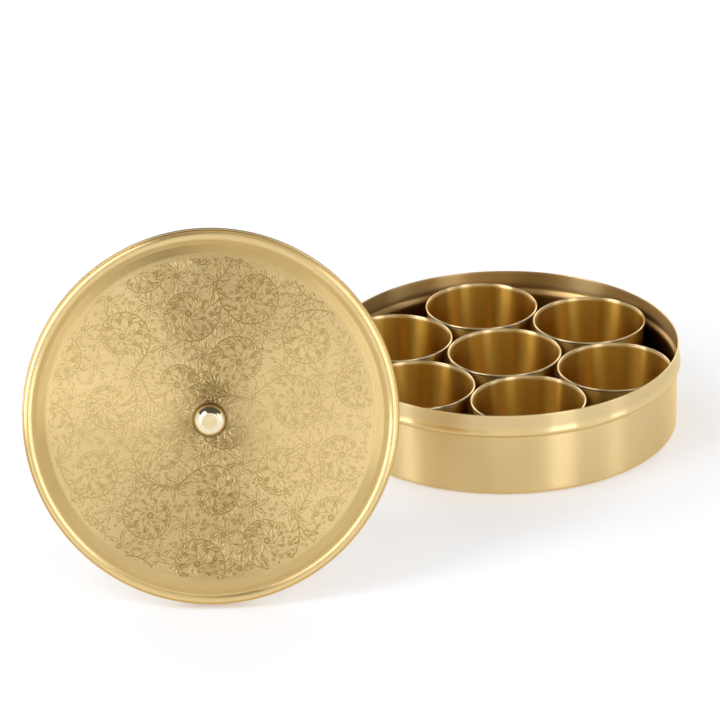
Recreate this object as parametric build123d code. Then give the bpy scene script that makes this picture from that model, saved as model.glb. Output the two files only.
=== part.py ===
from build123d import *
import os
from math import cos, pi, radians, sin

# Round brass spice box: a shallow pan with a stepped collar, seven loose cups standing in it,
# and a pressed lid with a screwed-on ball knob, taken off and standing on its edge in front.
# Millimetres, +Z up. The origin is the centre of the pan's flat underside. -Y is the front.

# Pan: spun from one sheet, with a collar at the top that the lid slides over and a bead under it.
rim_diameter = 200.0
box_height = 50.0
pan_sheet = 0.8
wall_inset = 0.9
pan_corner_radius = 3.2
collar_height = 14.0
collar_spread = 0.4
collar_below_lid = 0.5
collar_neck_radius = 8.0
collar_bead_out = 1.3
collar_bead_rise = 2.3
collar_bead_radius = 2.2
collar_root_radius = 0.8

# Cups: one in the middle and a ring round it.
ring_cups = 6
ring_turn = 40.0
cup_sheet = 0.7
cup_headroom = 6.5
cup_gap = 0.6
cup_rim_gap = 0.5
cup_body_gap = 0.4
cup_taper = 1.9
cup_corner_radius = 5.0
cup_flare_height = 1.6
cup_flare_radius = 2.0
cup_lip_radius = 0.55

# Lid: pressed sheet with a skirt, a half-round moulding, and a raised field inside a bevel.
lid_sheet = 0.8
lid_clearance = 0.15
skirt_depth = 8.0
shoulder_radius = 0.9
hem_radius = 0.75
hem_out = 0.45
moulding_width = 3.7
moulding_rise = 0.9
moulding_radius = 2.0
moulding_root_radius = 0.3
moulding_inset = 1.1
border_width = 3.0
bevel_width = 5.0
field_rise = 1.0
bevel_radius = 2.0

# Knob with its screw and washer. A small flat ends the ball.
knob_diameter = 19.0
knob_flat_diameter = 8.4
knob_flat_edge = 0.3
knob_foot_diameter = 12.0
knob_foot_height = 1.4
knob_foot_radius = 0.5
knob_neck_diameter = 7.6
knob_neck_height = 1.8
screw_diameter = 4.0
thread_gap = 0.05
thread_engagement = 7.0
tap_run_out = 2.0
screw_hole_gap = 0.2
screw_head_diameter = 7.4
screw_head_height = 2.4
screw_head_dome = 1.0
screw_slot_width = 1.0
screw_slot_depth = 1.1
washer_diameter = 11.0
washer_thickness = 0.8

# The lid stands on its edge, leaning back, in front of the pan and to its left.
lid_stand_x = -164.0
lid_stand_y = -196.5
lid_lean = 20.0

# Pan radii and heights.
rim_radius = rim_diameter / 2
rim_inner_radius = rim_radius - pan_sheet
wall_radius = rim_radius - wall_inset
wall_inner_radius = wall_radius - pan_sheet
bead_outer_radius = rim_radius + collar_bead_out
collar_base = box_height - collar_height
collar_straight = skirt_depth + collar_below_lid
collar_radius = rim_radius + collar_spread
pan_floor = pan_sheet

# Cup sizes: three cups and their gaps fill the width that the rim leaves.
cup_rim_radius = (rim_inner_radius - cup_gap - cup_rim_gap) / 3
cup_pitch = 2 * cup_rim_radius + cup_gap
cup_body_radius = wall_inner_radius - cup_body_gap - cup_pitch
cup_base_radius = cup_body_radius - cup_taper
cup_height = box_height - pan_floor - cup_headroom

# Lid radii: the skirt's lower edge clears the tapering collar at the height where it ends.
collar_slope = collar_spread / collar_straight
skirt_inner_radius = rim_radius + collar_slope * skirt_depth + lid_clearance
skirt_radius = skirt_inner_radius + lid_sheet
hem_outer_radius = skirt_radius + hem_out
moulding_outer_radius = skirt_radius - moulding_inset
moulding_inner_radius = moulding_outer_radius - moulding_width
bevel_outer_radius = moulding_inner_radius - border_width
field_radius = bevel_outer_radius - bevel_width
field_underside = field_rise
field_top = field_rise + lid_sheet

# Screw, hole and bore radii.
screw_radius = screw_diameter / 2
bore_radius = screw_radius + thread_gap
screw_hole_radius = screw_radius + screw_hole_gap


# The path moved to its left by the sheet's thickness, with mitred corners.
def mitred_offset(path, distance):
    steps = [(b - a).normalized() for a, b in zip(path, path[1:])]
    moved = []
    for i, point in enumerate(path):
        before, after = steps[max(i - 1, 0)], steps[min(i, len(steps) - 1)]
        left = Vector(-before.Y - after.Y, before.X + after.X)
        moved.append(point + left * (distance / (1 + before.dot(after))))
    return moved


# Bend radius on the sheet's left face: smaller at a left-hand bend, larger at a right-hand one.
def left_radius(path, i, radius, thickness):
    turn = (path[i] - path[i - 1]).cross(path[i + 1] - path[i]).Z
    return max(radius - thickness, 0) if turn > 0 else radius + thickness


# Section of a sheet, from one face's corners as (radius, height, bend radius) and its thickness.
# A free edge is rounded, and an end on the axis stays square.
def sheet_section(corners, thickness):
    path = [Vector(r, z) for r, z, _ in corners]
    bends = [bend for _, _, bend in corners[1:-1]]
    other = mitred_offset(path, thickness)
    other_bends = [left_radius(path, i + 1, bend, thickness) for i, bend in enumerate(bends)]
    edge = thickness * 0.4
    start, end = (edge if path[i].X > 0 else 0 for i in (0, -1))
    radii = [start, *bends, end, end, *reversed(other_bends), start]
    return make_face(FilletPolyline(*path, *reversed(other), radius=radii, close=True))


# The section lies in the XZ plane, with the radius along X.
def turned(section):
    return revolve(Plane.XZ * section, Axis.Z)


def box_pan():
    return turned(sheet_section([
        (0, 0, 0),
        (wall_radius, 0, pan_corner_radius),
        (wall_radius, collar_base, collar_root_radius),
        (bead_outer_radius, collar_base + collar_bead_rise, collar_bead_radius),
        (collar_radius, box_height - collar_straight, collar_neck_radius),
        (rim_radius, box_height, 0),
    ], pan_sheet))


# A spice cup on its own axis: a slightly tapered wall flared out into a rolled lip.
def spice_cup():
    lip_centre = Vector(cup_rim_radius - cup_lip_radius, cup_height - cup_lip_radius)
    wall = sheet_section([
        (0, 0, 0),
        (cup_base_radius, 0, cup_corner_radius),
        (cup_body_radius, cup_height - cup_flare_height, cup_flare_radius),
        (lip_centre.X + cup_sheet / 2, lip_centre.Y, 0),
    ], cup_sheet)
    lip = Pos(lip_centre.X, lip_centre.Y) * Circle(cup_lip_radius)
    return turned(wall + lip)


# Lid parts share one frame: its origin is where the rim touches the closed lid's underside,
# on the lid's axis, and +Z points out of the engraved face.
def lid_cover():
    crown = (moulding_outer_radius + moulding_inner_radius) / 2
    sheet = sheet_section([
        (skirt_radius, -skirt_depth, 0),
        (skirt_radius, lid_sheet, shoulder_radius),
        (moulding_outer_radius, lid_sheet, moulding_root_radius),
        (crown, lid_sheet + moulding_rise, moulding_radius),
        (moulding_inner_radius, lid_sheet, moulding_root_radius),
        (bevel_outer_radius, lid_sheet, bevel_radius),
        (field_radius, field_top, bevel_radius),
        (0, field_top, 0),
    ], lid_sheet)
    hem = Pos(hem_outer_radius - hem_radius, hem_radius - skirt_depth) * Circle(hem_radius)
    hole = Cylinder(screw_hole_radius, 4 * field_top)
    return turned(sheet + hem) - hole


# A ball with a flat end, on a waisted neck and a small foot, tapped from below for the screw.
def lid_knob():
    ball_radius = knob_diameter / 2
    neck_radius = knob_neck_diameter / 2
    neck_top = knob_foot_height + knob_neck_height
    ball_centre = neck_top + (ball_radius**2 - neck_radius**2) ** 0.5
    flat_height = ball_centre + (ball_radius**2 - knob_flat_diameter**2 / 4) ** 0.5
    below_flat = Pos(ball_radius, flat_height - 2 * ball_radius)
    right_half = below_flat * Rectangle(2 * ball_radius, 4 * ball_radius)
    ball = Pos(0, ball_centre) * Circle(ball_radius) & right_half
    flat_corner = ball.vertices().sort_by(Axis.Y)[-2:].sort_by(Axis.X)[-1]
    ball = fillet(flat_corner, knob_flat_edge)
    neck = Pos(neck_radius / 2, ball_centre / 2) * Rectangle(neck_radius, ball_centre)
    foot_radius = knob_foot_diameter / 2
    foot = Pos(foot_radius / 2, knob_foot_height / 2) * Rectangle(foot_radius, knob_foot_height)
    outer = foot.vertices().sort_by(Axis.X)[-2:]
    foot = fillet(outer, knob_foot_radius)
    bore_depth = thread_engagement + tap_run_out
    bore = Pos(0, 0, bore_depth / 2) * Cylinder(bore_radius, bore_depth)
    return Pos(0, 0, field_top) * (turned(ball + neck + foot) - bore)


def knob_washer():
    ring = Cylinder(washer_diameter / 2, washer_thickness)
    ring -= Cylinder(screw_hole_radius, 2 * washer_thickness)
    return Pos(0, 0, field_underside - washer_thickness / 2) * ring


# A slotted pan-head screw, up through the washer and the lid into the knob.
def knob_screw():
    seat = field_underside - washer_thickness
    length = field_top + thread_engagement - seat
    shank = Pos(0, 0, seat + length / 2) * Cylinder(screw_radius, length)
    head = Pos(0, 0, seat - screw_head_height / 2) * Cylinder(screw_head_diameter / 2, screw_head_height)
    head = fillet(head.edges().sort_by(Axis.Z)[0], screw_head_dome)
    slot_place = Pos(0, 0, seat - screw_head_height + screw_slot_depth / 2)
    slot = slot_place * Box(screw_head_diameter * 2, screw_slot_width, screw_slot_depth)
    return shank + head - slot


# Cup places: the middle one, then the ring, from the right-hand back cup round to the right.
ring_names = ["cup_back_right", "cup_back", "cup_back_left", "cup_front_left", "cup_front", "cup_front_right"]
cup_places = {"cup_center": (0, 0)}
for number, name in enumerate(ring_names[:ring_cups]):
    angle = radians(ring_turn + number * 360 / ring_cups)
    cup_places[name] = (cup_pitch * cos(angle), cup_pitch * sin(angle))

# The leaning lid's lowest point is its hem, so that point goes on the floor.
face_tilt = 90.0 - lid_lean
hem_floor_radius = hem_outer_radius - hem_radius
hem_centre_drop = hem_floor_radius * sin(radians(face_tilt))
hem_centre_drop += (skirt_depth - hem_radius) * cos(radians(face_tilt))
lid_stand_z = hem_centre_drop + hem_radius
lid_place = Location((lid_stand_x, lid_stand_y, lid_stand_z), (face_tilt, 0, 0))

parts = {"box_pan": box_pan()}
for name, (x, y) in cup_places.items():
    parts[name] = Pos(x, y, pan_floor) * spice_cup()
for build in (lid_cover, lid_knob, knob_washer, knob_screw):
    parts[build.__name__] = lid_place * build()

os.makedirs("parts", exist_ok=True)
for name, part in parts.items():
    part.label = name
    export_step(part, os.path.join("parts", name + ".step"))
    solid = part.solids()
    size = part.bounding_box().size
    print(f"{name}: {len(solid)} solid, {size.X:.1f} x {size.Y:.1f} x {size.Z:.1f} mm")
print(f"cup rim radius {cup_rim_radius:.2f}, pitch {cup_pitch:.2f}, lid radius {hem_outer_radius:.2f}")
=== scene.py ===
import math

import bpy
import numpy as np
from mathutils import Matrix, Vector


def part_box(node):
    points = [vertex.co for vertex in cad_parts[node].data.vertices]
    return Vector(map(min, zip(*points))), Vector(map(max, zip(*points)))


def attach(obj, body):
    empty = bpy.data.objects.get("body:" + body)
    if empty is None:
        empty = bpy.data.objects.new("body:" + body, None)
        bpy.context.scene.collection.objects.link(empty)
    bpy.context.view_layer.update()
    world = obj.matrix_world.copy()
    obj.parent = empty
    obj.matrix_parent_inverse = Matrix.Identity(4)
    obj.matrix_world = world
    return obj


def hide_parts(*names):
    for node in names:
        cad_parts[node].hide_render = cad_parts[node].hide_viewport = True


# A brass spice box with seven cups, and its lid standing in front of it. Metres, in the CAD's frame.
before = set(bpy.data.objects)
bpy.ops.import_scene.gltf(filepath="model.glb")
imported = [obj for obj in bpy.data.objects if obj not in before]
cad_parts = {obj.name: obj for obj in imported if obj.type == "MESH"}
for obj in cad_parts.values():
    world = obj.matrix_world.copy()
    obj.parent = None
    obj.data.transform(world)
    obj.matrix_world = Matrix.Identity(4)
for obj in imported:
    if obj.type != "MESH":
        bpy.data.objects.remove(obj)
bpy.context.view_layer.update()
mm = 0.001
onAxis = 1e-7  # a profile's end this near the axis, in metres, lies on it


# A mesh object from arrays of points and faces, with a UV pair for each corner of each face.
def meshPiece(name, points, faces, uvs=None):
    mesh = bpy.data.meshes.new(name)
    mesh.from_pydata(points.tolist(), [], faces)
    if uvs is not None:
        mesh.uv_layers.new(name="turning").data.foreach_set("uv", uvs.astype(np.float32).ravel())
    mesh.shade_smooth()
    piece = bpy.data.objects.new(name, mesh)
    bpy.context.scene.collection.objects.link(piece)
    return piece


# Points turned and moved to a place.
def moved(points, place):
    return points @ np.array(place.to_3x3()).T + np.array(place.translation)


# Profiles are complex numbers: the real part is the distance from the axis, the imaginary part
# the height. A corner becomes an arc that leaves each run at bend * tan(turn / 2) from the corner.
# Points just outside each arc keep the flat runs flat, and long runs are cut into equal steps.
def roundedPath(corners, bends, closed, arcSteps=6, hold=0.1 * mm, longest=5 * mm):
    corners, bends = np.asarray(corners, complex), np.asarray(bends, float)
    before, after = corners - np.roll(corners, 1), np.roll(corners, -1) - corners
    turn = np.angle(after / before)
    runs = bends * np.tan(abs(turn) / 2)
    if not closed:
        runs[[0, -1]] = 0
    spare = (abs(after) - runs - np.roll(runs, -1)) / 3
    holdAfter = np.clip(spare, 0, hold)
    holdBefore = np.roll(holdAfter, 1)
    path = []
    for i, (corner, run) in enumerate(zip(corners, runs)):
        if run <= 0:
            path.append(np.array([corner]))
            continue
        forward, onward = before[i] / abs(before[i]), after[i] / abs(after[i])
        start = corner - run * forward
        centre = start + 1j * math.copysign(bends[i], turn[i]) * forward
        arc = centre + (start - centre) * np.exp(1j * turn[i] * np.linspace(0, 1, arcSteps + 1))
        early, late = start - holdBefore[i] * forward, arc[-1] + holdAfter[i] * onward
        path.append(np.concatenate([[early], arc, [late]]))
    path = np.concatenate(path)
    following = np.roll(path, -1) if closed else path[1:]
    pieces = [np.linspace(a, b, int(abs(b - a) / longest) + 1, endpoint=False)
              for a, b in zip(path, following)]
    return np.concatenate(pieces + ([] if closed else [path[-1:]]))


# The path moved to its left by the distance, with mitred corners, and which corners turn left.
def mitredOffset(path, distance):
    steps = np.diff(path) / abs(np.diff(path))
    before, after = np.insert(steps, 0, steps[0]), np.append(steps, steps[-1])
    other = path + distance * 1j * (before + after) / (1 + (before * after.conj()).real)
    return other, (before.conj() * after).imag > 0


# Section of a sheet: one face's corners, and the other face offset to the left by the thickness,
# where a left-hand bend is tighter by the thickness and a right-hand bend wider. A free edge is
# rounded by a share of the thickness, and an end on the axis stays square.
def sheetSection(corners, thickness, edgeShare=0.45, tightest=0.05 * mm):
    path = np.array([complex(r, z) for r, z, _ in corners])
    bends = np.array([bend for _, _, bend in corners])
    other, leftTurn = mitredOffset(path, thickness)
    otherBends = np.where(leftTurn, np.maximum(bends - thickness, tightest), bends + thickness)
    bends[[0, -1]] = otherBends[[0, -1]] = edgeShare * thickness * (path[[0, -1]].real > 0)
    return roundedPath(np.concatenate([path, other[::-1]]),
                       np.concatenate([bends, otherBends[::-1]]), closed=True)


# The two fans that close a turned piece on the axis, at its profile's start and end. The points on
# the axis come after all rings.
def endFans(rings, along, segments):
    step = np.arange(segments)
    nextStep = (step + 1) % segments
    top = (len(rings) - 1) * segments
    first, last = np.full(segments, top + segments), np.full(segments, top + segments + 1)
    faces = np.stack([nextStep, step, first], axis=-1).tolist()
    faces += np.stack([top + step, top + nextStep, last], axis=-1).tolist()
    left, right = step / segments, (step + 1) / segments
    low, high = np.zeros(segments), np.full(segments, along[-1])
    lowUvs = np.stack([right, low, left, low, (left + right) / 2, low - rings[0].real], axis=-1)
    highUvs = np.stack([left, high, right, high, (left + right) / 2, high + rings[-1].real], axis=-1)
    return faces, np.vstack([lowUvs.reshape(-1, 2), highUvs.reshape(-1, 2)])


# Turns a profile round the axis: point (r cos a, r sin a, z) for angle a and profile point (r, z).
# A profile that starts and ends on the axis is closed by a fan at each end, and any other joins up
# with its own start. U runs once round the axis, and V is the length along the profile in metres.
def turned(name, profile, place, segments):
    poles = profile[0].real < onAxis
    rings = profile[1:-1] if poles else np.append(profile, profile[:1])
    along = np.concatenate([[0], np.cumsum(abs(np.diff(rings)))])
    count = len(rings) if poles else len(rings) - 1
    step = np.arange(segments)
    angle = step / segments * 2 * math.pi
    r, z = rings[:count].real[:, None], rings[:count].imag[:, None]
    points = np.stack([r * np.cos(angle), r * np.sin(angle), z + 0 * angle], axis=-1).reshape(-1, 3)
    i, j = np.meshgrid(np.arange(len(rings) - 1), step, indexing="ij")
    this, after = i * segments, (i + 1) % count * segments
    left, right = j, (j + 1) % segments
    faces = np.stack([this + left, this + right, after + right, after + left], axis=-1)
    faces = faces.reshape(-1, 4).tolist()
    u, nextU, v, nextV = j / segments, (j + 1) / segments, along[i], along[i + 1]
    uvs = np.stack([u, v, nextU, v, nextU, nextV, u, nextV], axis=-1).reshape(-1, 2)
    if poles:
        fans, fanUvs = endFans(rings, along, segments)
        points = np.vstack([points, [[0, 0, profile[0].imag], [0, 0, profile[-1].imag]]])
        faces, uvs = faces + fans, np.vstack([uvs, fanUvs])
    return meshPiece(name, moved(points, place), faces, uvs)


print("1 helpers ready")

# Places read from the frame: the box's height, the cups and the washer on the lid's axis.
_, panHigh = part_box("box_pan")
boxHeight = panHigh.z
cupNodes = sorted(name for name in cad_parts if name.startswith("cup_"))
washerLow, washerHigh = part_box("knob_washer")
washerMiddle = (washerLow + washerHigh) / 2

pan = {
    "rimRadius": 100 * mm, "sheet": 0.8 * mm, "wallInset": 0.9 * mm, "cornerBend": 3.2 * mm,
    "collarHeight": 14 * mm, "collarSpread": 0.4 * mm, "collarStraight": 8.5 * mm, "neckBend": 8 * mm,
    "beadOut": 1.3 * mm, "beadRise": 2.3 * mm, "beadBend": 2.2 * mm, "rootBend": 0.8 * mm,
    "segments": 288,
}


def panProfile():
    wall = pan["rimRadius"] - pan["wallInset"]
    collarBase = boxHeight - pan["collarHeight"]
    return sheetSection([
        (0, 0, 0), (wall, 0, pan["cornerBend"]), (wall, collarBase, pan["rootBend"]),
        (pan["rimRadius"] + pan["beadOut"], collarBase + pan["beadRise"], pan["beadBend"]),
        (pan["rimRadius"] + pan["collarSpread"], boxHeight - pan["collarStraight"], pan["neckBend"]),
        (pan["rimRadius"], boxHeight, 0),
    ], pan["sheet"])


cup = {
    "sheet": 0.7 * mm, "taper": 1.9 * mm, "cornerBend": 5 * mm, "flareHeight": 1.6 * mm,
    "flareBend": 2 * mm, "lipRadius": 0.55 * mm, "lipTurn": (-60, 195), "lipSteps": 20,
    "bodyInset": 0.8 * mm, "segments": 192,
}


# The cup's wall with the arc of its rolled lip, in degrees, between the outer and the inner face.
def cupProfile(rimRadius, height):
    lip = complex(rimRadius - cup["lipRadius"], height - cup["lipRadius"])
    body = rimRadius - cup["bodyInset"]
    neck = complex(body, height - cup["flareHeight"])
    base = complex(body - cup["taper"], 0)
    outer = np.array([0, base, neck, lip + cup["sheet"] / 2])
    inner, _ = mitredOffset(outer, cup["sheet"])
    outerRun = roundedPath(outer, [0, cup["cornerBend"], cup["flareBend"], 0], closed=False)
    innerRun = roundedPath(inner[::-1], [0, cup["flareBend"] + cup["sheet"],
                                         cup["cornerBend"] - cup["sheet"], 0], closed=False)
    rollTurn = np.radians(np.linspace(*cup["lipTurn"], cup["lipSteps"]))
    roll = lip + cup["lipRadius"] * np.exp(1j * rollTurn)
    return np.concatenate([outerRun[:-1], roll, innerRun[1:]])


# The lid is worked out in its own frame: the origin is on the axis where the rim touches the closed
# lid's underside, and Z points out of the engraved face. Lean is in degrees.
lid = {
    "sheet": 0.8 * mm, "skirtDepth": 8 * mm, "clearance": 0.15 * mm, "shoulderBend": 0.9 * mm,
    "hemRadius": 0.75 * mm, "hemOut": 0.45 * mm, "hemSteps": 20, "mouldingInset": 1.1 * mm,
    "mouldingWidth": 3.7 * mm, "mouldingRise": 0.9 * mm, "mouldingBend": 2 * mm, "rootBend": 0.3 * mm,
    "borderWidth": 3 * mm, "bevelWidth": 5 * mm, "fieldRise": 1 * mm, "bevelBend": 2 * mm,
    "holeRadius": 2.2 * mm, "washerHalf": 0.4 * mm, "lean": 20, "segments": 288,
}
collarSlope = pan["collarSpread"] / pan["collarStraight"]
skirtInside = pan["rimRadius"] + collarSlope * lid["skirtDepth"] + lid["clearance"]
lid["skirtRadius"] = skirtInside + lid["sheet"]
lid["mouldingOuter"] = lid["skirtRadius"] - lid["mouldingInset"]
lid["mouldingInner"] = lid["mouldingOuter"] - lid["mouldingWidth"]
lid["bevelOuter"] = lid["mouldingInner"] - lid["borderWidth"]
lid["fieldRadius"] = lid["bevelOuter"] - lid["bevelWidth"]
lid["fieldTop"] = lid["fieldRise"] + lid["sheet"]
lidTurn = Matrix.Rotation(math.pi / 2 - math.radians(lid["lean"]), 4, "X")
washerHeight = lid["fieldRise"] - lid["washerHalf"]
lidPlace = Matrix.Translation(washerMiddle) @ lidTurn @ Matrix.Translation((0, 0, -washerHeight))


def lidProfile():
    crown = (lid["mouldingOuter"] + lid["mouldingInner"]) / 2
    return sheetSection([
        (lid["skirtRadius"], -lid["skirtDepth"], 0),
        (lid["skirtRadius"], lid["sheet"], lid["shoulderBend"]),
        (lid["mouldingOuter"], lid["sheet"], lid["rootBend"]),
        (crown, lid["sheet"] + lid["mouldingRise"], lid["mouldingBend"]),
        (lid["mouldingInner"], lid["sheet"], lid["rootBend"]),
        (lid["bevelOuter"], lid["sheet"], lid["bevelBend"]),
        (lid["fieldRadius"], lid["fieldTop"], lid["bevelBend"]),
        (lid["holeRadius"], lid["fieldTop"], 0),
    ], lid["sheet"])


# The rolled hem: a full circle round the skirt's lower edge.
def hemProfile():
    reach = lid["skirtRadius"] + lid["hemOut"] - lid["hemRadius"]
    centre = complex(reach, lid["hemRadius"] - lid["skirtDepth"])
    turn = np.linspace(0, 2 * math.pi, lid["hemSteps"], endpoint=False)
    return centre + lid["hemRadius"] * np.exp(1j * turn)


# The knob is a ball with a small flat end, on a waisted neck and a foot.
knob = {
    "ballRadius": 9.5 * mm, "flatRadius": 4.2 * mm, "flatEdge": 0.3 * mm, "neckRadius": 3.8 * mm,
    "neckHeight": 1.8 * mm, "neckBend": 0.6 * mm, "footRadius": 6 * mm, "footHeight": 1.4 * mm,
    "footBend": 0.5 * mm, "footEdge": 0.1 * mm, "ballSteps": 44, "edgeSteps": 6, "flatSteps": 4,
    "segments": 96,
}


def knobProfile():
    neckTop = knob["footHeight"] + knob["neckHeight"]
    half = math.asin(knob["neckRadius"] / knob["ballRadius"])
    middle = neckTop + knob["ballRadius"] * math.cos(half)
    foot = roundedPath(
        [0, knob["footRadius"], complex(knob["footRadius"], knob["footHeight"]),
         complex(knob["neckRadius"], knob["footHeight"]), complex(knob["neckRadius"], neckTop)],
        [0, knob["footEdge"], knob["footBend"], knob["neckBend"], 0], closed=False)
    # The edge of the flat is an arc that touches the ball from inside and the flat from below.
    cap = math.sqrt(knob["ballRadius"] ** 2 - knob["flatRadius"] ** 2)
    edgeTop = cap - knob["flatEdge"]
    edgeOut = math.sqrt((knob["ballRadius"] - knob["flatEdge"]) ** 2 - edgeTop ** 2)
    sweep = np.linspace(-math.pi / 2 + half, math.atan2(edgeTop, edgeOut), knob["ballSteps"])
    ball = 1j * middle + knob["ballRadius"] * np.exp(1j * sweep)
    edgeSweep = np.linspace(sweep[-1], math.pi / 2, knob["edgeSteps"])
    edge = complex(edgeOut, middle + edgeTop) + knob["flatEdge"] * np.exp(1j * edgeSweep)
    flat = 1j * (middle + cap) + np.linspace(edgeOut, 0, knob["flatSteps"])
    return np.concatenate([foot, ball[1:], edge[1:], flat[1:]])


# Links a socket to the value where that is another node's output, and else fills the value in.
def feed(tree, socket, value):
    if isinstance(value, bpy.types.NodeSocket):
        tree.links.new(value, socket)
    else:
        socket.default_value = value


# Adds a shader node, sets its properties and feeds its inputs. An input is named with _ for each
# space, or is in0, in1 and so on by its number.
def node(tree, kind, settings=None, **inputs):
    made = tree.nodes.new("ShaderNode" + kind)
    for key, value in (settings or {}).items():
        setattr(made, key, value)
    for key, value in inputs.items():
        numbered = key.startswith("in") and key[2:].isdigit()
        feed(tree, made.inputs[int(key[2:]) if numbered else key.replace("_", " ")], value)
    return made


def calculated(tree, operation, *values):
    inputs = {f"in{number}": value for number, value in enumerate(values)}
    return node(tree, "Math", {"operation": operation}, **inputs).outputs[0]


# The value with its range from low to high brought to the range from start to end, and held there.
def ranged(tree, value, low, high, start=0.0, end=1.0):
    made = node(tree, "MapRange", Value=value, From_Min=low, From_Max=high, To_Min=start, To_Max=end)
    return made.outputs[0]


def mixColour(tree, factor, first, second, blend="MIX"):
    settings = {"data_type": "RGBA", "blend_type": blend}
    return node(tree, "Mix", settings, in0=factor, in6=first, in7=second).outputs[2]


def newMaterial(name):
    material = bpy.data.materials.new(name)
    material.use_nodes = True
    return material, material.node_tree, material.node_tree.nodes["Principled BSDF"]


# Tones of brass: the lathe finish, the darker etched lines and hem, and the polished knob. On the hem the
# darker tones are painted shade, and the knob's darkest tone is painted shade for its lower part.
brass = {"deep": (0.65, 0.46, 0.19, 1), "plain": (0.78, 0.585, 0.275, 1), "bright": (0.83, 0.645, 0.335, 1)}
etched = {"deep": (0.37, 0.24, 0.075, 1), "plain": (0.48, 0.33, 0.11, 1), "bright": (0.57, 0.395, 0.145, 1)}
buffed = {"plain": (0.83, 0.72, 0.49, 1), "bright": (0.90, 0.80, 0.58, 1), "tarnish": (0.16, 0.10, 0.04, 1)}
usual = (0.3, 0.7)  # nearly all of a noise's values lie between these


# A band along V in millimetres: 0 up to start, 1 from full to fade, and 0 from end.
def bandShare(tree, along, start, full, fade, end):
    rise = ranged(tree, along, start * mm, full * mm)
    fall = ranged(tree, along, fade * mm, end * mm, start=1.0, end=0.0)
    return calculated(tree, "MINIMUM", rise, fall)


# A turned piece's UV map: the cosine and the sine of the turn, and the metres along the profile.
def turningPlace(tree):
    split = node(tree, "SeparateXYZ", Vector=node(tree, "UVMap", {"uv_map": "turning"}).outputs["UV"])
    angle = calculated(tree, "MULTIPLY", split.outputs["X"], 2 * math.pi)
    return calculated(tree, "COSINE", angle), calculated(tree, "SINE", angle), split.outputs["Y"]


# Fine lathe marks are noise stretched round the axis. Its first two axes go slowly round with U, so
# the marks close on themselves, and its third goes quickly along V.
def latheMarks(tree, cosine, sine, along, markWidth, arcs):
    wide, tall = calculated(tree, "MULTIPLY", cosine, arcs), calculated(tree, "MULTIPLY", sine, arcs)
    stretched = node(tree, "CombineXYZ", X=wide, Y=tall, Z=calculated(tree, "DIVIDE", along, markWidth))
    marks = node(tree, "TexNoise", Vector=stretched.outputs[0], Scale=1.0, Detail=3.0, Roughness=0.6)
    return marks.outputs["Fac"]


# What all lathe finishes share. Clouds are handling: they darken the metal and dull its shine.
lathe = {
    "cloudScale": 28.0, "cloudTone": 0.22, "cloudDull": 0.18, "markShine": 0.02, "markHeight": 0.004 * mm,
    "markStrength": 0.5, "stippleScale": 1400.0, "sideHighlightFrom": 0.55, "sideHighlightTo": 0.95,
}


# Brass finished on a lathe, with its shine drawn out across the marks. Each tint is a band along V, a
# colour and how it is mixed in. In the polished band, the roughness is that share of the rest. On the
# sides where U is near 0 and 0.5, the colour goes back towards plain brass by the given share: a painted
# highlight, where the lid's face shines brightest. The edge tint is the colour of reflections at a
# grazing angle.
def turnedBrass(name, tones=brass, roughness=0.32, markWidth=0.4 * mm, arcs=5.0, polished=None,
                tints=(), stipple=0.0, sideHighlight=0.0, edgeTint=(0.95, 0.88, 0.72, 1)):
    material, tree, surface = newMaterial(name)
    cosine, sine, along = turningPlace(tree)
    marks = latheMarks(tree, cosine, sine, along, markWidth, arcs)
    place = node(tree, "TexCoord").outputs["Object"]
    cloud = node(tree, "TexNoise", Vector=place, Scale=lathe["cloudScale"], Detail=3.0, Roughness=0.5)
    cloudTone = ranged(tree, cloud.outputs["Fac"], *usual, end=lathe["cloudTone"])
    metal = mixColour(tree, ranged(tree, marks, *usual), tones["plain"], tones["bright"])
    metal = mixColour(tree, cloudTone, metal, tones["deep"])
    # Painted highlight: paler, towards plain brass, on the lid's left and right sides.
    if sideHighlight:
        sideways = calculated(tree, "ABSOLUTE", cosine)
        share = ranged(tree, sideways, lathe["sideHighlightFrom"], lathe["sideHighlightTo"], end=sideHighlight)
        metal = mixColour(tree, share, metal, brass["plain"])
    for band, colour, blend in tints:
        metal = mixColour(tree, bandShare(tree, along, *band), metal, colour, blend)
    tree.links.new(metal, surface.inputs["Base Color"])
    smooth, rough = roughness - lathe["markShine"], roughness + lathe["markShine"]
    markShine = ranged(tree, marks, *usual, start=smooth, end=rough)
    shine = calculated(tree, "MULTIPLY_ADD", cloudTone, lathe["cloudDull"], markShine)
    if polished:
        band, share = polished
        polish = ranged(tree, bandShare(tree, along, *band), 0.0, 1.0, start=1.0, end=share)
        shine = calculated(tree, "MULTIPLY", shine, polish)
    tree.links.new(shine, surface.inputs["Roughness"])
    bump = node(tree, "Bump", Height=marks, Strength=lathe["markStrength"], Distance=lathe["markHeight"])
    if stipple:
        grain = node(tree, "TexNoise", Vector=place, Scale=lathe["stippleScale"], Detail=2.0, Roughness=0.6)
        bump = node(tree, "Bump", Height=grain.outputs["Fac"], Strength=1.0, Distance=stipple,
                    Normal=bump.outputs[0])
    tree.links.new(bump.outputs[0], surface.inputs["Normal"])
    tangent = node(tree, "Tangent", {"direction_type": "UV_MAP", "uv_map": "turning"})
    tree.links.new(tangent.outputs[0], surface.inputs["Tangent"])
    surface.inputs["Metallic"].default_value = 1.0
    surface.inputs["Specular Tint"].default_value = edgeTint
    surface.inputs["Anisotropic"].default_value = 1.0
    surface.inputs["Anisotropic Rotation"].default_value = 0.25  # a quarter turn, across the marks
    return material


# A mirror polish with faint swirls, where a haze of handling adds to the roughness.
mirror = {"hazeScale": 180.0, "hazeDull": 0.07, "swirlScale": 900.0, "swirlHeight": 0.01 * mm}
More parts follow.
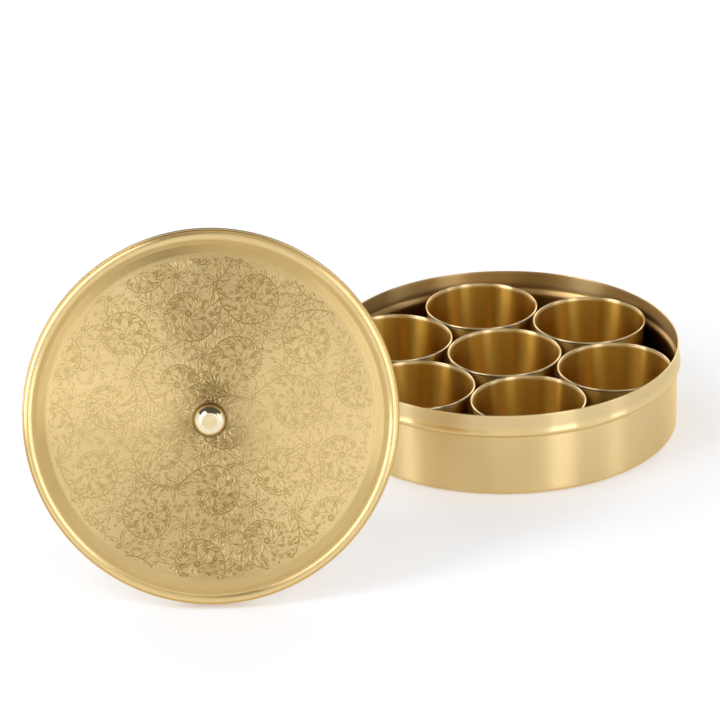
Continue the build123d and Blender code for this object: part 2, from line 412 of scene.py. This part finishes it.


# Brass polished to a mirror. The band given last runs along V, where the ball's lower part, painted dark as
# shade and dark reflection, turns to clean metal.
def polishedBrass(name, tones, roughness, tarnish=None):
    material, tree, surface = newMaterial(name)
    place = node(tree, "TexCoord").outputs["Object"]
    haze = node(tree, "TexNoise", Vector=place, Scale=mirror["hazeScale"], Detail=4.0, Roughness=0.6)
    swirl = node(tree, "TexNoise", Vector=place, Scale=mirror["swirlScale"], Detail=2.0)
    metal = mixColour(tree, ranged(tree, haze.outputs["Fac"], *usual), tones["plain"], tones["bright"])
    # Painted shade: the ball is dark below its middle and turns clean above it.
    if tarnish:
        _, _, along = turningPlace(tree)
        metal = mixColour(tree, ranged(tree, along, *tarnish), tones["tarnish"], metal)
    tree.links.new(metal, surface.inputs["Base Color"])
    dull = roughness + mirror["hazeDull"]
    tree.links.new(ranged(tree, haze.outputs["Fac"], *usual, start=roughness, end=dull),
                   surface.inputs["Roughness"])
    bump = node(tree, "Bump", Height=swirl.outputs["Fac"], Strength=0.1, Distance=mirror["swirlHeight"])
    tree.links.new(bump.outputs[0], surface.inputs["Normal"])
    surface.inputs["Metallic"].default_value = 1.0
    return material


# Colour bands along each profile, in millimetres from where it starts. Most are painted shade in hollows,
# creases and gaps; the cups also have a painted warm reflection under the lip and a painted highlight on
# it.
pastEnd = (400, 401)  # where a band fades that runs on to the profile's end
panTints = [
    ((134, 137, 142, 144), (0.91, 0.91, 0.93, 1), "MULTIPLY"),  # the collar's outside
    ((144.2, 146, *pastEnd), (0.86, 0.76, 0.62, 1), "MULTIPLY"),  # all of the inside, painted shade
    ((157, 161, *pastEnd), (0.38, 0.27, 0.13, 1), "MULTIPLY"),  # the inside below the collar, painted deep shade between the cups
]
cupTints = [
    ((68.3, 70.5, *pastEnd), (0.77, 0.60, 0.20, 1), "MULTIPLY"),  # the inside, painted shade
    ((18, 26, 46, 63), (0.62, 0.51, 0.34, 1), "MULTIPLY"),  # the outer wall, low in the gaps: painted shade
    ((40, 58, 64, 64.8), (1.0, 0.82, 0.38, 1), "MULTIPLY"),  # the outer wall under the lip: a painted warm reflection of the brass round it
    ((64.6, 65.4, 68.0, 68.6), (0.86, 0.69, 0.40, 1), "MIX"),  # the lip: a painted highlight, paler
]
lidTints = [
    ((7.8, 8.6, 9.6, 10), (0.80, 0.70, 0.52, 1), "MULTIPLY"),  # the shoulder: painted shade in its crease
    ((14, 14.6, 21, 22.5), (0.79, 0.76, 0.71, 1), "MULTIPLY"),  # the border and the bevel: painted shade
]
wallBrass = turnedBrass("turnedBrassPan", markWidth=0.35 * mm, tints=panTints,
                        polished=((128, 130, 143, 145), 0.72))
cupBrass = turnedBrass("turnedBrassCup", roughness=0.30, markWidth=0.3 * mm, arcs=2.5, tints=cupTints,
                       edgeTint=(0.92, 0.74, 0.44, 1))
faceBrass = turnedBrass("turnedBrassLid", roughness=0.40, tints=lidTints, stipple=0.03 * mm,
                        polished=((-2, -1, 21, 22.5), 0.56))
ballBrass = polishedBrass("polishedBrassKnob", buffed, roughness=0.09, tarnish=(22.5 * mm, 25.5 * mm))
screwBrass = polishedBrass("bareBrassScrew", brass, roughness=0.22)
# The etched lines fade on the left and right of the lid: a painted highlight.
lineBrass = turnedBrass("etchedBrassLines", etched, roughness=0.42, sideHighlight=0.45)
# The hem takes the darker etched tones all round: painted shade for the dark line under the lid's rim.
shadedHemBrass = turnedBrass("shadedBrassHem", etched, roughness=0.34)
print("2 materials ready")


# Gives a piece its material and its body, and hides the CAD nodes that it stands for. The slot name is not
# used.
def finishPiece(piece, material, body, slotName, *nodes):
    piece.data.materials.append(material)
    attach(piece, body)
    if nodes:
        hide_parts(*nodes)


panPiece = turned("spun_pan", panProfile(), Matrix.Identity(4), pan["segments"])
finishPiece(panPiece, wallBrass, "box", "satin_brass", "box_pan")
for name in cupNodes:
    low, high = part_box(name)
    centre = (low + high) / 2
    profile = cupProfile((high.x - low.x) / 2, high.z - low.z)
    standing = Matrix.Translation((centre.x, centre.y, low.z))
    cupPiece = turned("spun_" + name, profile, standing, cup["segments"])
    finishPiece(cupPiece, cupBrass, name, "satin_brass", name)
lidPiece = turned("pressed_lid", lidProfile(), lidPlace, lid["segments"])
finishPiece(lidPiece, faceBrass, "lid", "engraved_brass", "lid_cover")
hemPiece = turned("lid_hem", hemProfile(), lidPlace, lid["segments"])
finishPiece(hemPiece, shadedHemBrass, "lid", "satin_brass")
knobPlace = lidPlace @ Matrix.Translation((0, 0, lid["fieldTop"]))
knobPiece = turned("ball_knob", knobProfile(), knobPlace, knob["segments"])
finishPiece(knobPiece, ballBrass, "lid", "polished_brass", "lid_knob")
for name in ("knob_washer", "knob_screw"):
    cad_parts[name].data.materials.clear()
    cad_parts[name].data.materials.append(screwBrass)
print("3 turned pieces ready")


# The etched scroll on the lid's field: vines wound into spirals, with outlined leaves, curls that end
# in berries, flowers, sprays in the gaps and dots on the ground that is left. Every line is a ridge of
# triangular section and every solid shape a low cone. Turn is in degrees and shift in millimetres.
scroll = {
    "spacing": 37 * mm, "cells": 4, "turn": 17.0, "shift": 9 - 6j, "jitter": 1.4 * mm,
    "sizes": (0.93, 1.04), "startSpread": 0.15, "turns": 1.0, "outer": 0.47, "eye": 0.27,
    "leadIn": 0.045, "steps": 80, "shortest": 3, "vineWidth": 0.8 * mm, "tipWidth": 0.5 * mm,
    "curlWidth": 0.55 * mm,
    "leafLine": 0.45 * mm, "leafWidth": 0.36, "flowerSize": 1.7 * mm, "margin": 0.9 * mm,
    "slope": 0.20, "strokeSlope": 0.26, "rise": 0.02 * mm, "sunk": 0.006 * mm, "seed": 11,
}
fieldEdge = lid["fieldRadius"] - scroll["margin"]
lastStep = scroll["steps"] - 1
chance = np.random.default_rng(scroll["seed"])


# Vines wound round the points of a triangular lattice, in turns of either hand. With t from 0 to 1 and
# distances as shares of the spacing: distance = outer + (eye - outer) * t + a lead-in that dies away;
# angle = start + hand * 2 pi * turns * t.
def spiralVines():
    side = scroll["spacing"]
    cells = np.arange(-scroll["cells"], scroll["cells"] + 1)
    a, b = [grid.ravel() for grid in np.meshgrid(cells, cells)]
    lattice = side * (a + b * np.exp(1j * math.pi / 3)) * np.exp(1j * math.radians(scroll["turn"]))
    centres = lattice + scroll["shift"] * mm
    near = abs(centres) < fieldEdge + side / 2
    a, b, centres = a[near], b[near], centres[near]
    centres = centres + scroll["jitter"] * np.exp(2j * math.pi * chance.uniform(0, 1, len(a)))
    size = side * chance.uniform(*scroll["sizes"], len(a))[:, None]
    hand = np.where((a + b) % 2 == 0, 1, -1)[:, None]
    # Each vine starts in the middle of one of the triangles round its eye.
    start = math.radians(scroll["turn"] + 30) + np.radians(120) * ((a - b) % 3)
    start = start + chance.uniform(-scroll["startSpread"], scroll["startSpread"], len(a))
    t = np.linspace(0, 1, scroll["steps"])
    ring = scroll["outer"] + (scroll["eye"] - scroll["outer"]) * t
    leadIn = (1 / math.sqrt(3) - scroll["outer"]) * np.exp(-t / scroll["leadIn"])
    angle = start[:, None] + hand * 2 * math.pi * scroll["turns"] * t
    return centres, hand, centres[:, None] + size * (ring + leadIn) * np.exp(1j * angle)


# A leaf of unit length along the real axis: x = (1 - cos s) / 2 and
# y = bend * x^2 - width * sin s * (1.1 - x) * 0.75, so it swells near the root and bends to one side.
def leafOutline(bend, corners=12):
    s = np.arange(corners) / corners * 2 * math.pi
    x = (1 - np.cos(s)) / 2
    return x + 1j * (bend * x * x - scroll["leafWidth"] * np.sin(s) * (1.1 - x) * 0.75)


# The leaf's middle line, which stops short of its tip.
def leafVein(bend):
    x = np.linspace(0, 0.72, 5)
    return x + 1j * bend * x * x


# A line of unit reach. With t from 0 to 1, its heading is -0.5 + 1.7 pi t^1.6 and its steps shrink
# by 0.55 t, so it winds up.
def curlLine(corners=12):
    t = np.linspace(0, 1, corners)
    steps = np.exp(1j * (-0.5 + 1.7 * math.pi * t ** 1.6)) * (1 - 0.55 * t)
    line = np.concatenate([[0], np.cumsum(steps[:-1])])
    return line / abs(line).max()


# A regular outline round the origin, one unit from it.
def disc(corners):
    return np.exp(2j * math.pi * np.arange(corners) / corners)


# Copies of a unit shape, each turned and sized by a complex number, that lie wholly on the field.
def stamped(shape, places, sizes=1.0):
    places, sizes = np.broadcast_arrays(places, sizes)
    copies = places.ravel()[:, None] + sizes.ravel()[:, None] * shape
    return copies[(abs(copies) < fieldEdge).all(axis=1)]


# Ridges of triangular section: left foot, right foot and crest at every point of every line.
def ridges(lines, width, closed, slope):
    count, length = lines.shape
    if closed:
        along = np.roll(lines, -1, axis=1) - np.roll(lines, 1, axis=1)
    else:
        along = np.gradient(lines, axis=1)
    across = 1j * along / abs(along) * width / 2
    flat = np.stack([lines + across, lines - across, lines], axis=-1)
    crest = np.broadcast_to(slope * width / 2, lines.shape)
    foot = np.full(lines.shape, -scroll["sunk"])
    height = lid["fieldTop"] + np.stack([foot, foot, crest], axis=-1)
    points = np.stack([flat.real, flat.imag, height], axis=-1).reshape(-1, 3)
    index = np.arange(count * length * 3).reshape(count, length, 3)
    this, after = (index, np.roll(index, -1, axis=1)) if closed else (index[:, :-1], index[:, 1:])
    faces = [np.stack([this[..., p], this[..., q], after[..., q], after[..., p]], axis=-1).reshape(-1, 4)
             for p, q in ((0, 2), (2, 1), (1, 0))]
    ends = [] if closed else index[:, 0].tolist() + index[:, -1, [0, 2, 1]].tolist()
    return points, np.concatenate(faces).tolist() + ends


# Low cones over outlines that run anticlockwise, each round its own middle.
def mounds(outlines, rise):
    count, corners = outlines.shape
    flat = np.concatenate([outlines, outlines.mean(axis=1, keepdims=True)], axis=1)
    height = lid["fieldTop"] + np.append(np.full(corners, -scroll["sunk"]), rise)
    points = np.stack([flat.real, flat.imag, height + 0 * flat.real], axis=-1).reshape(-1, 3)
    index = np.arange(count * (corners + 1)).reshape(count, corners + 1)
    rim, top = index[:, :-1], np.repeat(index[:, -1:], corners, axis=1)
    fans = np.stack([rim, np.roll(rim, -1, axis=1), top], axis=-1).reshape(-1, 3)
    return points, fans.tolist() + rim[:, ::-1].tolist()


# A flower is a ring of round petals and a round middle, as shares of its size. Spin is in radians.
flower = {"ring": 0.62, "petal": 0.40, "petalCorners": 8, "middle": 0.24, "middleCorners": 6, "spin": 6.28}


def flowers(places, size, petals):
    spin = disc(petals) * np.exp(1j * chance.uniform(0, flower["spin"], places.size))[:, None]
    petalPlaces = places.ravel()[:, None] + flower["ring"] * size * spin
    return [stamped(flower["petal"] * size * disc(flower["petalCorners"]), petalPlaces),
            stamped(flower["middle"] * size * disc(flower["middleCorners"]), places)]


# Adds outlined leaves with a vein in each.
def addLeaves(art, bend, places, sizes):
    art["lines"].append((stamped(leafOutline(bend), places, sizes), scroll["leafLine"], True))
    art["strokes"].append((stamped(leafVein(bend), places, sizes), scroll["leafLine"], False))


# Adds small solid leaves, bent like commas.
def addCommas(art, bend, places, sizes):
    art["blobs"].append(stamped(leafOutline(bend, corners=7), places, sizes))


# Adds round berries.
def addBerries(art, radius, places):
    art["blobs"].append(stamped(radius * disc(7), places))


# The stretches of each vine that lie on the field, apart from the shortest.
def drawVines(art, vines):
    width = np.linspace(scroll["vineWidth"], scroll["tipWidth"], scroll["steps"])
    for vine in vines:
        inside = np.diff(np.concatenate([[0], abs(vine) < fieldEdge, [0]]).astype(int))
        runs = zip(np.flatnonzero(inside > 0), np.flatnonzero(inside < 0))
        art["lines"] += [(vine[None, first:end], width[first:end], False)
                         for first, end in runs if end - first > scroll["shortest"]]


# What grows on a vine. A row is its start and end as shares of the vine, and how many it holds. Lean
# is the turn from the vine's heading, in radians. Each leaf row also has its side of the vine, with 1
# for the inner one, and its leaves' share of the full length. Leaves and curls start at their first
# share of that length and shrink towards the eye.
growth = {
    "leafRows": ((1, (0.05, 0.97, 16), 1.0), (-1, (0.05, 0.70, 12), 0.8)),
    "leafLength": 7.8 * mm, "leafFirst": 1.05, "leafLean": 0.62, "leafBend": 0.28,
    "leafSizes": (0.75, 1.15), "curlRow": (0.10, 0.95, 11), "curlReach": 4.6 * mm, "curlFirst": 1.1,
    "curlLean": 0.5, "berryRadius": 0.9 * mm,
    "commaRow": (0.02, 0.96, 26), "commaLength": 2.6 * mm, "commaLean": 1.0, "commaBend": 0.45,
    "commaRoot": 0.25, "commaSizes": (0.7, 1.25),
    "barbRow": (0.03, 0.85, 44), "barbLength": 3.4 * mm, "barbLean": 0.85, "barbSizes": (0.6, 1.15),
    "flowersAt": (0.14, 0.26, 0.38, 0.50, 0.62, 0.74), "flowersOut": 4.6 * mm, "petals": 5,
    "shrink": 0.5,
}
barb = np.array([0.3, 0.7 + 0.03j, 1.1 + 0.12j])
barbWidths = scroll["leafLine"] * np.array([0.9, 1.1, 0.6])


# The steps of a vine at which the things in a row stand.
def stops(start, end, number):
    return (np.linspace(start, end, number) * lastStep).astype(int)


# Dresses the vines of one hand, whose heading is known at every step.
def dressVines(art, vines, heading, side):
    for inward, row, share in growth["leafRows"]:
        at = stops(*row)
        lean = heading[:, at] * np.exp(1j * growth["leafLean"] * side * inward)
        shrunk = growth["leafFirst"] - growth["shrink"] * at / lastStep
        size = lean * growth["leafLength"] * share * shrunk
        size = size * chance.uniform(*growth["leafSizes"], size.shape)
        addLeaves(art, growth["leafBend"] * side * inward, vines[:, at], size)
    # Curls between the leaves, each with a berry at its end.
    at = stops(*growth["curlRow"])
    lean = heading[:, at] * np.exp(1j * growth["curlLean"] * side)
    shrunk = growth["curlFirst"] - growth["shrink"] * at / lastStep
    size = lean * growth["curlReach"] * shrunk
    curl = curlLine() if side > 0 else curlLine().conj()
    art["lines"].append((stamped(curl, vines[:, at], size), scroll["curlWidth"], False))
    addBerries(art, growth["berryRadius"], vines[:, at] + size * curl[-1])
    # Commas on both sides of the vine.
    at = stops(*growth["commaRow"])
    for inward in (1, -1):
        lean = heading[:, at] * np.exp(1j * growth["commaLean"] * side * inward)
        size = lean * growth["commaLength"] * chance.uniform(*growth["commaSizes"], lean.shape)
        roots = vines[:, at] + growth["commaRoot"] * size
        addCommas(art, growth["commaBend"] * side * inward, roots, size)
    # Short strokes along the outer side, like the barbs of a feather.
    at = stops(*growth["barbRow"])
    lean = -1j * side * heading[:, at] * np.exp(1j * growth["barbLean"] * side)
    size = lean * growth["barbLength"]
    size = size * chance.uniform(*growth["barbSizes"], size.shape)
    art["strokes"].append((stamped(barb, vines[:, at], size), barbWidths, False))


# A flower in each eye, with a ring of leaves round it and curls and berries between and outside them.
# Between is in quarter turns.
rosette = {
    "flower": 1.35, "petals": 7, "leaves": 8, "spin": 0.8, "leafFrom": 2.6 * mm, "leafLength": 5.6 * mm,
    "leafBend": 0.8, "commaFrom": 3.4 * mm, "commaLength": 2.6 * mm, "commaBend": 0.9,
    "berryFrom": 8.6 * mm, "berryRadius": 0.8 * mm, "curlFrom": 6.4 * mm, "curlReach": 3.4 * mm,
    "between": 0.25,
}


def drawRosettes(art, centres):
    art["blobs"] += flowers(centres, rosette["flower"] * scroll["flowerSize"], rosette["petals"])
    spin = np.exp(1j * chance.uniform(0, rosette["spin"], len(centres)))[:, None]
    spin, eyes = disc(rosette["leaves"]) * spin, centres[:, None]
    addLeaves(art, rosette["leafBend"], eyes + rosette["leafFrom"] * spin, rosette["leafLength"] * spin)
    between = spin * 1j ** rosette["between"]
    addCommas(art, rosette["commaBend"], eyes + rosette["commaFrom"] * between,
              rosette["commaLength"] * between)
    addBerries(art, rosette["berryRadius"], eyes + rosette["berryFrom"] * between)
    curls = stamped(curlLine(), eyes + rosette["curlFrom"] * between, rosette["curlReach"] * between)
    art["lines"].append((curls, scroll["curlWidth"], False))


# A flower in each gap, with a spray of leaves and a ring of rays. Corners and turn are in degrees,
# the rays' turn is in radians and between in quarter turns.
spray = {
    "corners": (30, 90), "flower": 1.1, "petals": 6, "leaves": 6, "turn": 20, "leafFrom": 2.2 * mm,
    "leafLength": 5.4 * mm, "leafBend": 0.8, "commaFrom": 3.6 * mm, "commaLength": 3.0 * mm,
    "commaBend": 0.9, "between": 0.33, "rays": 18, "rayTurn": 0.5, "rayFrom": 3.4 * mm,
    "rayLength": 4.2 * mm,
}


def drawSprays(art, centres):
    for corner in spray["corners"]:
        direction = np.exp(1j * math.radians(corner + scroll["turn"]))
        gaps = centres + scroll["spacing"] / math.sqrt(3) * direction
        art["blobs"] += flowers(gaps, spray["flower"] * scroll["flowerSize"], spray["petals"])
        gaps = gaps[:, None]
        fan = disc(spray["leaves"]) * np.exp(1j * math.radians(corner + spray["turn"]))
        leaves = stamped(leafOutline(spray["leafBend"]), gaps + spray["leafFrom"] * fan,
                         spray["leafLength"] * fan)
        art["lines"].append((leaves, scroll["leafLine"], True))
        commaPlaces = gaps + spray["commaFrom"] * fan * 1j ** spray["between"]
        addCommas(art, spray["commaBend"], commaPlaces, spray["commaLength"] * fan)
        rays = disc(spray["rays"]) * np.exp(1j * spray["rayTurn"])
        rayPlaces, raySizes = gaps + spray["rayFrom"] * rays, spray["rayLength"] * rays
        art["strokes"].append((stamped(barb, rayPlaces, raySizes), barbWidths, False))


# The ground that is left takes small flowers, then dots, then grain: short strokes that follow the
# vines. Spacing is the grid's, clear the room to what is drawn, and reach the room to the field's edge,
# which is also the size of a dot or a stroke.
ground = {
    "cell": 0.3 * mm, "spareCells": 16, "jitter": 0.2,
    "flowers": {"spacing": 2.5 * mm, "clear": 1.3 * mm, "reach": 1.5 * mm},
    "dots": {"spacing": 1.9 * mm, "clear": 0.95 * mm, "reach": 0.38 * mm},
    "grain": {"spacing": 1.25 * mm, "clear": 0.4 * mm, "reach": 1.5 * mm},
    "flowerSize": 1.2 * mm, "petals": 5, "dotCorners": 6, "grainLean": (0.4, 1.5), "grainWidth": 0.8,
}
grainStroke = np.array([-0.5 - 0.1j, 0.1j, 0.5 - 0.1j])


# Points of a jittered grid that lie clear of everything drawn, found on a map of cells.
def freeGround(art, spacing, clear, reach):
    shapes = [shape for shape, _, _ in art["lines"] + art["strokes"]] + art["blobs"]
    drawn = np.concatenate([shape.ravel() for shape in shapes])
    steps = np.arange(-fieldEdge, fieldEdge, spacing)
    x, y = np.meshgrid(steps, steps)
    spots = (x + (np.arange(len(steps)) % 2)[:, None] * spacing / 2 + 1j * y).ravel()
    shake = chance.uniform(-1, 1, spots.size) + 1j * chance.uniform(-1, 1, spots.size)
    spots = spots + ground["jitter"] * spacing * shake
    spots = spots[abs(spots) < fieldEdge - reach]
    cell = ground["cell"]
    middle = int(fieldEdge / cell) + ground["spareCells"]
    taken = np.zeros((2 * middle, 2 * middle), bool)
    column, row = (drawn.real / cell + middle).astype(int), (drawn.imag / cell + middle).astype(int)
    span = int(clear / cell)
    for over in range(-span, span + 1):
        for up in range(-span, span + 1):
            if over * over + up * up <= span * span:
                taken[column + over, row + up] = True
    column, row = (spots.real / cell + middle).astype(int), (spots.imag / cell + middle).astype(int)
    return spots[~taken[column, row]]


def fillGround(art, centres):
    art["blobs"] += flowers(freeGround(art, **ground["flowers"]), ground["flowerSize"], ground["petals"])
    spots = freeGround(art, **ground["dots"])
    art["blobs"].append(stamped(ground["dots"]["reach"] * disc(ground["dotCorners"]), spots))
    spots = freeGround(art, **ground["grain"])
    nearest = centres[abs(spots[:, None] - centres).argmin(axis=1)]
    lean = np.exp(1j * chance.uniform(*ground["grainLean"], len(spots)))
    flow = (spots - nearest) / abs(spots - nearest) * lean
    strokes = stamped(grainStroke, spots, ground["grain"]["reach"] * flow)
    art["strokes"].append((strokes, ground["grainWidth"] * barbWidths, False))


# The whole scroll, as the parts of three meshes. Art holds lines and strokes, each with its width and
# whether it is closed, and the outlines of solid blobs.
def etchedScroll():
    centres, hand, vines = spiralVines()
    heading = np.gradient(vines, axis=1)
    heading = heading / abs(heading)
    art = {"lines": [], "strokes": [], "blobs": []}
    drawVines(art, vines)
    for side in (1, -1):
        rows = (hand == side).ravel()
        dressVines(art, vines[rows], heading[rows], side)
    drawRosettes(art, centres)
    at = (np.array(growth["flowersAt"]) * lastStep).astype(int)
    beside = vines[:, at] + 1j * growth["flowersOut"] * hand * heading[:, at]
    art["blobs"] += flowers(beside, scroll["flowerSize"], growth["petals"])
    drawSprays(art, centres)
    fillGround(art, centres)
    lines = [ridges(*line, scroll["slope"]) for line in art["lines"] if len(line[0])]
    strokes = [ridges(*line, scroll["strokeSlope"]) for line in art["strokes"] if len(line[0])]
    return lines, strokes, [mounds(shape, scroll["rise"]) for shape in art["blobs"] if len(shape)]


# Joins parts into one mesh. U is the share of a turn round the lid and V the distance from its axis,
# and a face that straddles the start of the turn has its U carried past 1.
def scrollPiece(name, parts, material):
    starts = np.cumsum([0] + [len(points) for points, _ in parts])
    points = np.vstack([points for points, _ in parts])
    faces = [[corner + start for corner in face]
             for (_, partFaces), start in zip(parts, starts) for face in partFaces]
    corners = np.concatenate(faces)
    owner = np.repeat(np.arange(len(faces)), [len(face) for face in faces])
    u = np.arctan2(points[:, 1], points[:, 0])[corners] / (2 * math.pi) % 1.0
    highest = np.zeros(len(faces))
    np.maximum.at(highest, owner, u)
    u = np.where(highest[owner] - u > 0.5, u + 1, u)
    uvs = np.stack([u, np.hypot(points[:, 0], points[:, 1])[corners]], axis=-1)
    piece = meshPiece(name, moved(points, lidPlace), faces, uvs)
    piece.data.shade_flat()
    finishPiece(piece, material, "lid", "engraved_brass")


scrollLines, scrollStrokes, scrollDots = etchedScroll()
scrollPiece("etched_scroll", scrollLines, lineBrass)
scrollPiece("etched_strokes", scrollStrokes, faceBrass)
scrollPiece("etched_dots", scrollDots, lineBrass)
print("4 scroll ready")


# Floor, light and camera. Each softbox and card has its turn from the camera's side towards +X and its
# tilt above the floor, in degrees, its distance, width and height in metres, and the brightness of its
# face, where 1 is white.
studio = {
    "floorSize": 60.0, "floorTone": 0.80, "floorRoughness": 0.9, "floorGlow": 0.29, "farGlow": 0.58,
    "litReach": (1.2, 4.5), "ambient": 0.55,
    "softboxColour": (0.97, 1.0, 1.13),
    "softboxes": {
        "leftStrip": (-59, 34, 2.2, 0.9, 2.4, 3.0),
        "rightStrip": (35, 22, 2.2, 0.62, 2.2, 2.0),
        "rightFill": (73, 22, 2.2, 0.42, 2.2, 1.4),
        "leftBack": (-140, 30, 2.4, 0.9, 1.6, 1.6),
        "rightBack": (150, 30, 2.4, 0.9, 1.6, 1.6),
    },
    "cardColour": (1.0, 0.94, 0.78, 1),
    "cards": {
        "behindCamera": (-14, 24, 3.8, 4.0, 3.6, 0.95),
        "leftOfCamera": (-21, 18, 3.4, 1.1, 3.2, 0.74),
        "ceiling": (0, 104, 3.0, 10.0, 4.6, 0.10),
        "upperLeft": (-24, 46, 3.3, 1.3, 1.4, 0.30),
    },
}


# A place that far from the middle, facing it.
def aim(turn, tilt, distance):
    turning = Matrix.Rotation(math.radians(turn), 4, "Z")
    tilting = Matrix.Rotation(math.radians(90 - tilt), 4, "X")
    return turning @ tilting @ Matrix.Translation((0, 0, distance))


# A rectangle with its middle at the place, and level where no place is given.
def flatSheet(name, width, height, place=Matrix.Identity(4)):
    x, y = width / 2, height / 2
    corners = np.array([[-x, -y, 0], [x, -y, 0], [x, y, 0], [-x, y, 0]])
    return meshPiece(name, moved(corners, place), [[0, 1, 2, 3]])


def softbox(name, turn, tilt, distance, width, height, brightness):
    lamp = bpy.data.lights.new(name, "AREA")
    lamp.shape, lamp.size, lamp.size_y = "RECTANGLE", width, height
    lamp.energy = brightness * math.pi * width * height
    lamp.color = studio["softboxColour"]
    box = bpy.data.objects.new(name, lamp)
    bpy.context.scene.collection.objects.link(box)
    box.matrix_world = aim(turn, tilt, distance)
    box.visible_camera = False


# A card keeps a part of the white room out of the metal's reflections, and is seen only there.
def card(name, turn, tilt, distance, width, height, brightness):
    sheet = flatSheet(name, width, height, aim(turn, tilt, distance))
    material, tree, _ = newMaterial(name)
    glow = node(tree, "Emission", Color=studio["cardColour"], Strength=brightness)
    tree.links.new(glow.outputs[0], tree.nodes["Material Output"].inputs["Surface"])
    sheet.data.materials.append(material)
    sheet.visible_camera = sheet.visible_diffuse = sheet.visible_shadow = False


# 1 on rays from the camera and on reflected and refracted ones, and 0 on the rest.
def seenDirectly(tree):
    path = node(tree, "LightPath").outputs
    seen = calculated(tree, "MAXIMUM", path["Is Camera Ray"], path["Is Glossy Ray"])
    return calculated(tree, "MAXIMUM", seen, path["Is Transmission Ray"])


# The world is white to the camera and in every reflection, and dimmer as fill on matt surfaces.
def paintWorld():
    world = bpy.data.worlds.new("paleStudio")
    bpy.context.scene.world = world
    world.use_nodes = True
    tree = world.node_tree
    background = tree.nodes["Background"]
    background.inputs["Color"].default_value = (1, 1, 1, 1)
    strength = ranged(tree, seenDirectly(tree), 0.0, 1.0, start=studio["ambient"], end=1.0)
    tree.links.new(strength, background.inputs["Strength"])


# The floor is matt and pale. A faint glow, seen only directly, lifts it to white and keeps its shadows.
# It grows with the distance from the middle, where the softboxes no longer reach.
def layFloor():
    floor = flatSheet("studio_floor", studio["floorSize"], studio["floorSize"])
    material, tree, surface = newMaterial("paleFloor")
    surface.inputs["Base Color"].default_value = (*[studio["floorTone"]] * 3, 1)
    surface.inputs["Roughness"].default_value = studio["floorRoughness"]
    surface.inputs["Specular IOR Level"].default_value = 0.0
    surface.inputs["Emission Color"].default_value = (1, 1, 1, 1)
    place = node(tree, "TexCoord").outputs["Object"]
    distance = node(tree, "VectorMath", {"operation": "LENGTH"}, in0=place).outputs["Value"]
    near, far = studio["litReach"]
    lift = node(tree, "MapRange", {"interpolation_type": "SMOOTHSTEP"}, Value=distance, From_Min=near,
                From_Max=far, To_Min=studio["floorGlow"], To_Max=studio["farGlow"])
    glow = calculated(tree, "MULTIPLY", seenDirectly(tree), lift.outputs[0])
    tree.links.new(glow, surface.inputs["Emission Strength"])
    floor.data.materials.append(material)


# The camera stands where the photograph's ellipses put it, with a long lens. Down and roll are in
# degrees, and the sensor in millimetres.
view = {
    "place": (-0.083, -2.889, 1.375), "down": 24.80, "roll": -1.03, "focalPixels": 5539,
    "framePixels": 720, "sensor": 36.0, "clipEnd": 50.0,
}


def setCamera():
    camera = bpy.data.cameras.new("photoCamera")
    camera.sensor_width = view["sensor"]
    camera.lens = view["focalPixels"] / view["framePixels"] * view["sensor"]
    camera.clip_end = view["clipEnd"]
    holder = bpy.data.objects.new("photoCamera", camera)
    bpy.context.scene.collection.objects.link(holder)
    tilt = Matrix.Rotation(math.radians(90 - view["down"]), 4, "X")
    roll = Matrix.Rotation(math.radians(view["roll"]), 4, "Z")
    holder.matrix_world = Matrix.Translation(view["place"]) @ tilt @ roll
    bpy.context.scene.camera = holder


for name, values in studio["softboxes"].items():
    softbox(name, *values)
for name, values in studio["cards"].items():
    card(name, *values)
paintWorld()
layFloor()
setCamera()
bpy.context.scene.view_settings.view_transform = "Standard"
print("5 studio ready")
